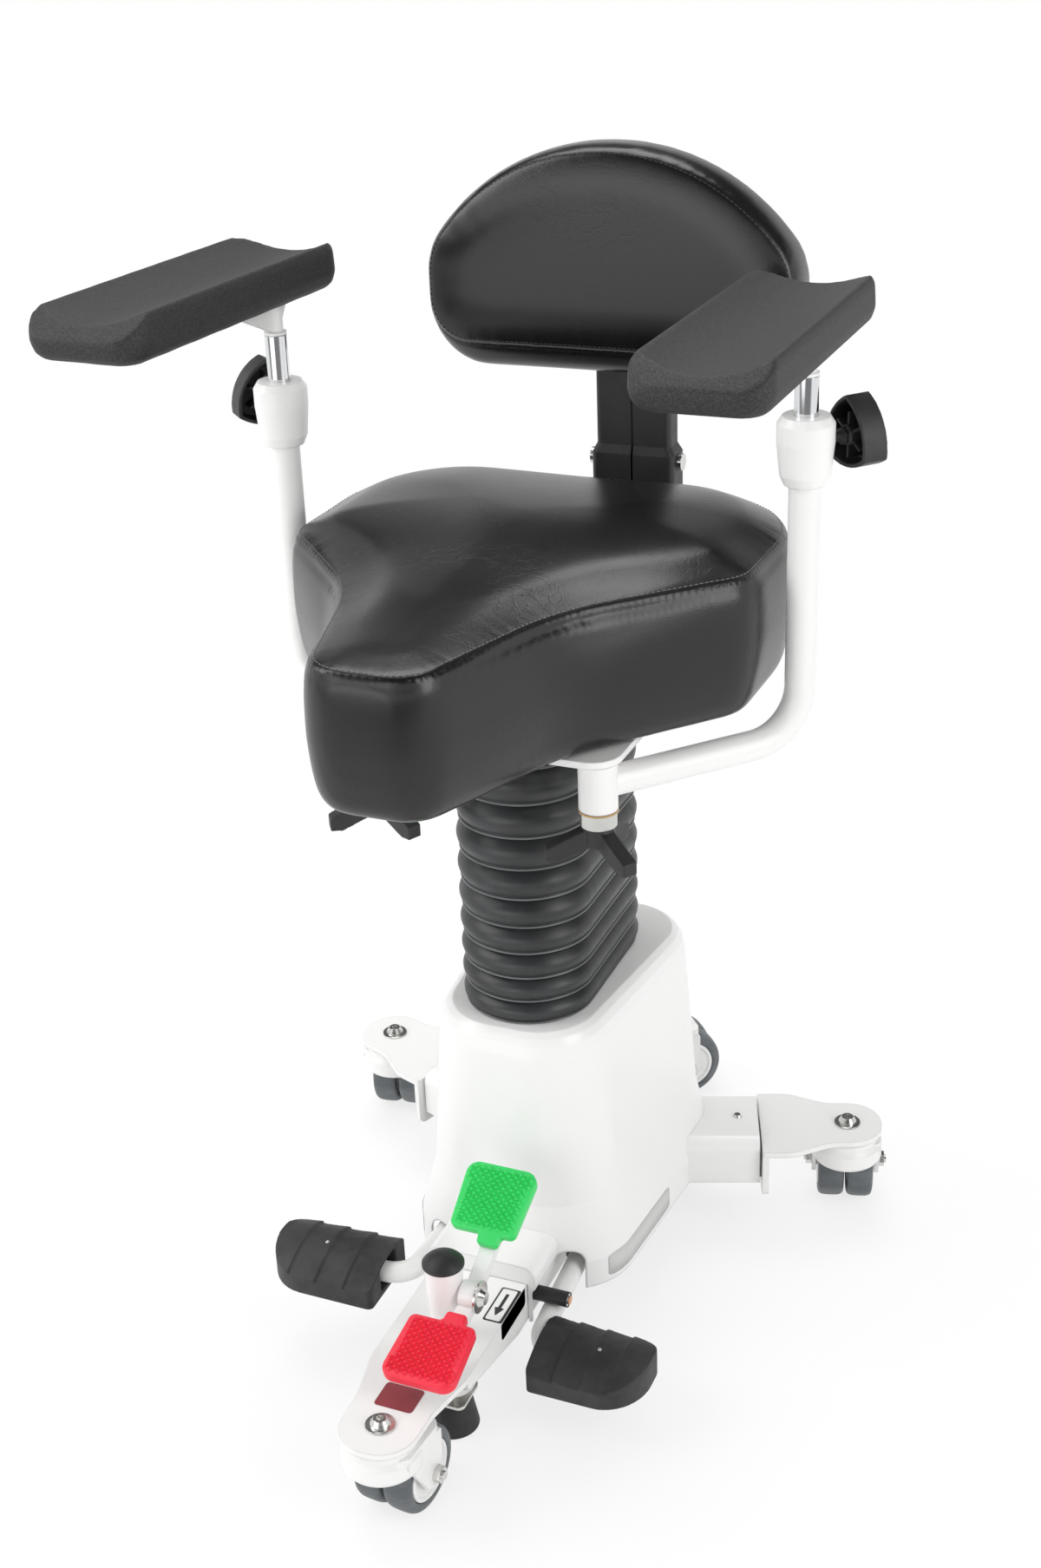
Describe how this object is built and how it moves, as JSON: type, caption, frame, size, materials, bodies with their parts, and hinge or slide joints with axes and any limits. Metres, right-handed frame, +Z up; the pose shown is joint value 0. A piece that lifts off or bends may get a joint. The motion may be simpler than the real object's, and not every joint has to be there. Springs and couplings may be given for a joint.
{
  "type": "hydraulic surgical stool",
  "caption": "Height-adjustable surgeon's stool: saddle seat on a bellows-covered hydraulic column, swinging armrests, backrest, foot pedals, pivot brake and twin-wheel casters.",
  "frame": {"origin": "on the floor, under the axis of the hydraulic column", "axes": "+Z up, -Y towards the saddle's horn and the pedals, +X to the right of someone facing the stool from its horn end"},
  "size_m": [0.6068, 0.7635, 1.008],
  "materials": {
    "white_paint": "smooth gloss powder coat",
    "white_plastic": "smooth gloss moulding",
    "grey_steel": "dark enamel",
    "plated_steel": "bright zinc",
    "chrome": "polished",
    "bronze": "plain bearing bronze",
    "grey_tyre": "moulded grey tread",
    "black_rubber": "satin moulded",
    "black_plastic": "fine grain",
    "green_rubber": "studded",
    "red_rubber": "studded",
    "black_vinyl": "grained upholstery vinyl",
    "foam_black": "skinned foam",
    "plywood": "sealed ply"
  },
  "bodies": {
    "base": {"base_frame": "grey_steel", "front_leg": "white_paint", "leg_brackets": "white_paint", "base_cover": "white_plastic", "base_fasteners": "plated_steel", "hydraulic_cylinder": "grey_steel", "column_guide": "grey_steel", "bellows": "black_rubber", "pedal_pins": "plated_steel", "post_cap": "black_plastic", "brake_cup": "plated_steel"},
    "lift": {"hydraulic_ram": "chrome", "guide_rod": "chrome", "seat_plate": "white_paint", "seat_board": "plywood", "seat_cushion": "black_vinyl", "pivot_pins": "plated_steel", "arm_washers": "bronze", "back_bracket": "grey_steel"},
    "caster_front": {"caster_housing_front": "white_paint", "caster_axle_front": "plated_steel"},
    "wheel_front_a": {"wheel_front_a": "grey_tyre"},
    "wheel_front_b": {"wheel_front_b": "grey_tyre"},
    "caster_right": {"caster_housing_right": "white_paint", "caster_axle_right": "plated_steel"},
    "wheel_right_a": {"wheel_right_a": "grey_tyre"},
    "wheel_right_b": {"wheel_right_b": "grey_tyre"},
    "caster_left": {"caster_housing_left": "white_paint", "caster_axle_left": "plated_steel"},
    "wheel_left_a": {"wheel_left_a": "grey_tyre"},
    "wheel_left_b": {"wheel_left_b": "grey_tyre"},
    "caster_rear": {"caster_housing_rear": "white_paint", "caster_axle_rear": "plated_steel"},
    "wheel_rear_a": {"wheel_rear_a": "grey_tyre"},
    "wheel_rear_b": {"wheel_rear_b": "grey_tyre"},
    "arm_right": {"arm_right": "white_paint"},
    "star_right": {"star_knob_right": "black_plastic"},
    "clamp_right": {"clamp_knob_right": "black_plastic"},
    "post_right": {"arm_post_right": "chrome"},
    "rest_right": {"armrest_plate_right": "white_paint", "armrest_right": "foam_black"},
    "arm_left": {"arm_left": "white_paint"},
    "star_left": {"star_knob_left": "black_plastic"},
    "clamp_left": {"clamp_knob_left": "black_plastic"},
    "post_left": {"arm_post_left": "chrome"},
    "rest_left": {"armrest_plate_left": "white_paint", "armrest_left": "foam_black"},
    "back": {"back_upright": "black_plastic"},
    "backrest": {"backrest_shell": "black_plastic", "backrest_cushion": "black_vinyl"},
    "raise_pedal": {"raise_pedal_arm": "white_paint", "raise_pedal_pad": "black_rubber"},
    "pump": {"pump_plunger": "plated_steel"},
    "lower_pedal": {"lower_pedal_arm": "white_paint", "lower_pedal_pad": "black_rubber"},
    "rocker": {"brake_rocker": "white_paint", "brake_pad_green": "green_rubber", "brake_pad_red": "red_rubber"},
    "brake_foot": {"brake_plunger": "plated_steel", "brake_foot": "black_rubber"}
  },
  "joints": [
    {"name": "seat_lift", "type": "slide", "parent": "base", "child": "lift", "axis": [0, 0, 1], "range_m": [-0.15, 0], "deforming": ["bellows"]},
    {"name": "swivel_front", "type": "hinge", "parent": "base", "child": "caster_front", "pos_m": [0, -0.37, 0], "axis": [0, 0, 1], "continuous": true},
    {"name": "roll_front_a", "type": "hinge", "parent": "caster_front", "child": "wheel_front_a", "pos_m": [0.00293, -0.34215, 0.0375], "axis": [-0.9945, 0.1045, 0], "continuous": true},
    {"name": "roll_front_b", "type": "hinge", "parent": "caster_front", "child": "wheel_front_b", "pos_m": [0.00293, -0.34215, 0.0375], "axis": [-0.9945, 0.1045, 0], "continuous": true},
    {"name": "swivel_right", "type": "hinge", "parent": "base", "child": "caster_right", "pos_m": [0.245, 0.166, 0], "axis": [0, 0, 1], "continuous": true},
    {"name": "roll_right_a", "type": "hinge", "parent": "caster_right", "child": "wheel_right_a", "pos_m": [0.23728, 0.19292, 0.0375], "axis": [-0.9613, -0.2756, 0], "continuous": true},
    {"name": "roll_right_b", "type": "hinge", "parent": "caster_right", "child": "wheel_right_b", "pos_m": [0.23728, 0.19292, 0.0375], "axis": [-0.9613, -0.2756, 0], "continuous": true},
    {"name": "swivel_left", "type": "hinge", "parent": "base", "child": "caster_left", "pos_m": [-0.245, 0.166, 0], "axis": [0, 0, 1], "continuous": true},
    {"name": "roll_left_a", "type": "hinge", "parent": "caster_left", "child": "wheel_left_a", "pos_m": [-0.24986, 0.19357, 0.0375], "axis": [-0.9848, -0.1736, 0], "continuous": true},
    {"name": "roll_left_b", "type": "hinge", "parent": "caster_left", "child": "wheel_left_b", "pos_m": [-0.24986, 0.19357, 0.0375], "axis": [-0.9848, -0.1736, 0], "continuous": true},
    {"name": "swivel_rear", "type": "hinge", "parent": "base", "child": "caster_rear", "pos_m": [0, 0.3, 0], "axis": [0, 0, 1], "continuous": true},
    {"name": "roll_rear_a", "type": "hinge", "parent": "caster_rear", "child": "wheel_rear_a", "pos_m": [0.02145, 0.318, 0.0375], "axis": [-0.6428, 0.766, 0], "continuous": true},
    {"name": "roll_rear_b", "type": "hinge", "parent": "caster_rear", "child": "wheel_rear_b", "pos_m": [0.02145, 0.318, 0.0375], "axis": [-0.6428, 0.766, 0], "continuous": true},
    {"name": "arm_swing_right", "type": "hinge", "parent": "lift", "child": "arm_right", "pos_m": [0.098, -0.108, 0.566], "axis": [0, 0, 1], "range_deg": [-85, 0]},
    {"name": "star_turn_right", "type": "hinge", "parent": "lift", "child": "star_right", "pos_m": [0.098, -0.108, 0.52], "axis": [0, 0, 1], "range_deg": [-180, 180]},
    {"name": "clamp_turn_right", "type": "hinge", "parent": "arm_right", "child": "clamp_right", "pos_m": [0.22239, 0.03509, 0.815], "axis": [0.6561, 0.7547, 0], "range_deg": [-180, 180]},
    {"name": "post_slide_right", "type": "slide", "parent": "arm_right", "child": "post_right", "axis": [0, 0, 1], "range_m": [-0.03, 0.06]},
    {"name": "rest_turn_right", "type": "hinge", "parent": "post_right", "child": "rest_right", "pos_m": [0.22239, 0.03509, 0.88], "axis": [0, 0, 1], "range_deg": [-90, 90]},
    {"name": "arm_swing_left", "type": "hinge", "parent": "lift", "child": "arm_left", "pos_m": [-0.098, -0.108, 0.566], "axis": [0, 0, 1], "range_deg": [0, 85]},
    {"name": "star_turn_left", "type": "hinge", "parent": "lift", "child": "star_left", "pos_m": [-0.098, -0.108, 0.52], "axis": [0, 0, 1], "range_deg": [-180, 180]},
    {"name": "clamp_turn_left", "type": "hinge", "parent": "arm_left", "child": "clamp_left", "pos_m": [-0.23508, 0.02299, 0.815], "axis": [-0.723, 0.6909, 0], "range_deg": [-180, 180]},
    {"name": "post_slide_left", "type": "slide", "parent": "arm_left", "child": "post_left", "axis": [0, 0, 1], "range_m": [-0.03, 0.06]},
    {"name": "rest_turn_left", "type": "hinge", "parent": "post_left", "child": "rest_left", "pos_m": [-0.23508, 0.02299, 0.88], "axis": [0, 0, 1], "range_deg": [-90, 90]},
    {"name": "back_tilt", "type": "hinge", "parent": "lift", "child": "back", "pos_m": [0, 0.265, 0.718], "axis": [1, 0, 0], "range_deg": [-12, 4]},
    {"name": "back_height", "type": "slide", "parent": "back", "child": "backrest", "axis": [0, 0, 1], "range_m": [-0.03, 0.04]},
    {"name": "raise_pedal", "type": "hinge", "parent": "base", "child": "raise_pedal", "pos_m": [0, -0.05, 0.08], "axis": [1, 0, 0], "range_deg": [0, 18], "stiffness_Nm_per_rad": 8, "springref_deg": -17.19},
    {"name": "pump_stroke", "type": "slide", "parent": "base", "child": "pump", "axis": [0, 0, 1], "range_m": [-0.016, 0]},
    {"name": "lower_pedal", "type": "hinge", "parent": "base", "child": "lower_pedal", "pos_m": [0, -0.05, 0.08], "axis": [1, 0, 0], "range_deg": [0, 8], "stiffness_Nm_per_rad": 10, "springref_deg": -17.19},
    {"name": "brake_rock", "type": "hinge", "parent": "base", "child": "rocker", "pos_m": [0, -0.25, 0.1455], "axis": [1, 0, 0], "range_deg": [-14, 1.5]},
    {"name": "brake_drop", "type": "slide", "parent": "base", "child": "brake_foot", "axis": [0, 0, 1], "range_m": [-0.001, 0.009]}
  ],
  "couplings": [
    {"joint": "pump_stroke", "follows": "raise_pedal", "m_per_rad": -0.05},
    {"joint": "brake_drop", "follows": "brake_rock", "m_per_rad": -0.035}
  ]
}
